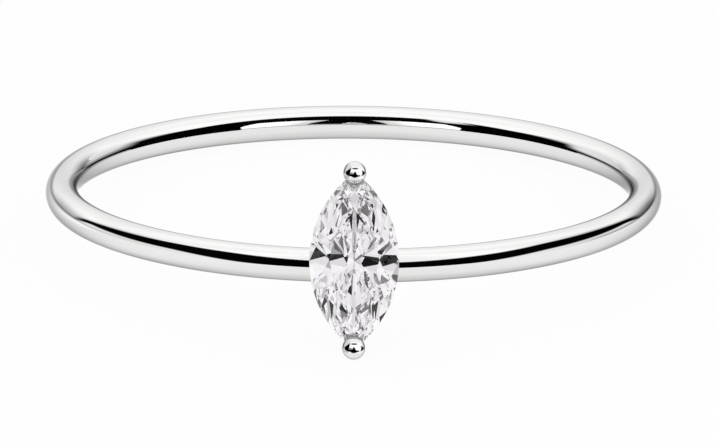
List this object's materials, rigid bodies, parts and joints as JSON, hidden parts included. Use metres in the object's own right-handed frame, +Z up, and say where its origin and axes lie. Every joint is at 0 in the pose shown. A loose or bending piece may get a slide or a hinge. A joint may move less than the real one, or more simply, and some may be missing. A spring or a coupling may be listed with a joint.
{
  "type": "marquise solitaire band ring",
  "caption": "Thin round-wire finger ring with a pointed oval stone held lengthwise by two ball-tipped prongs, resting on its side.",
  "frame": {"origin": "on the surface that the ring lies on, below the middle of its box", "axes": "+Z up from the surface, -Y towards the stone, X across the ring; the ring is symmetric about the YZ plane"},
  "size_m": [0.0184, 0.0212, 0.0054],
  "materials": {
    "polished_metal": "mirror polished white precious metal",
    "clear_stone": "clear faceted stone, nearly colourless"
  },
  "bodies": {
    "root": {"band_and_setting": "polished_metal", "stone": "clear_stone"}
  },
  "joints": []
}
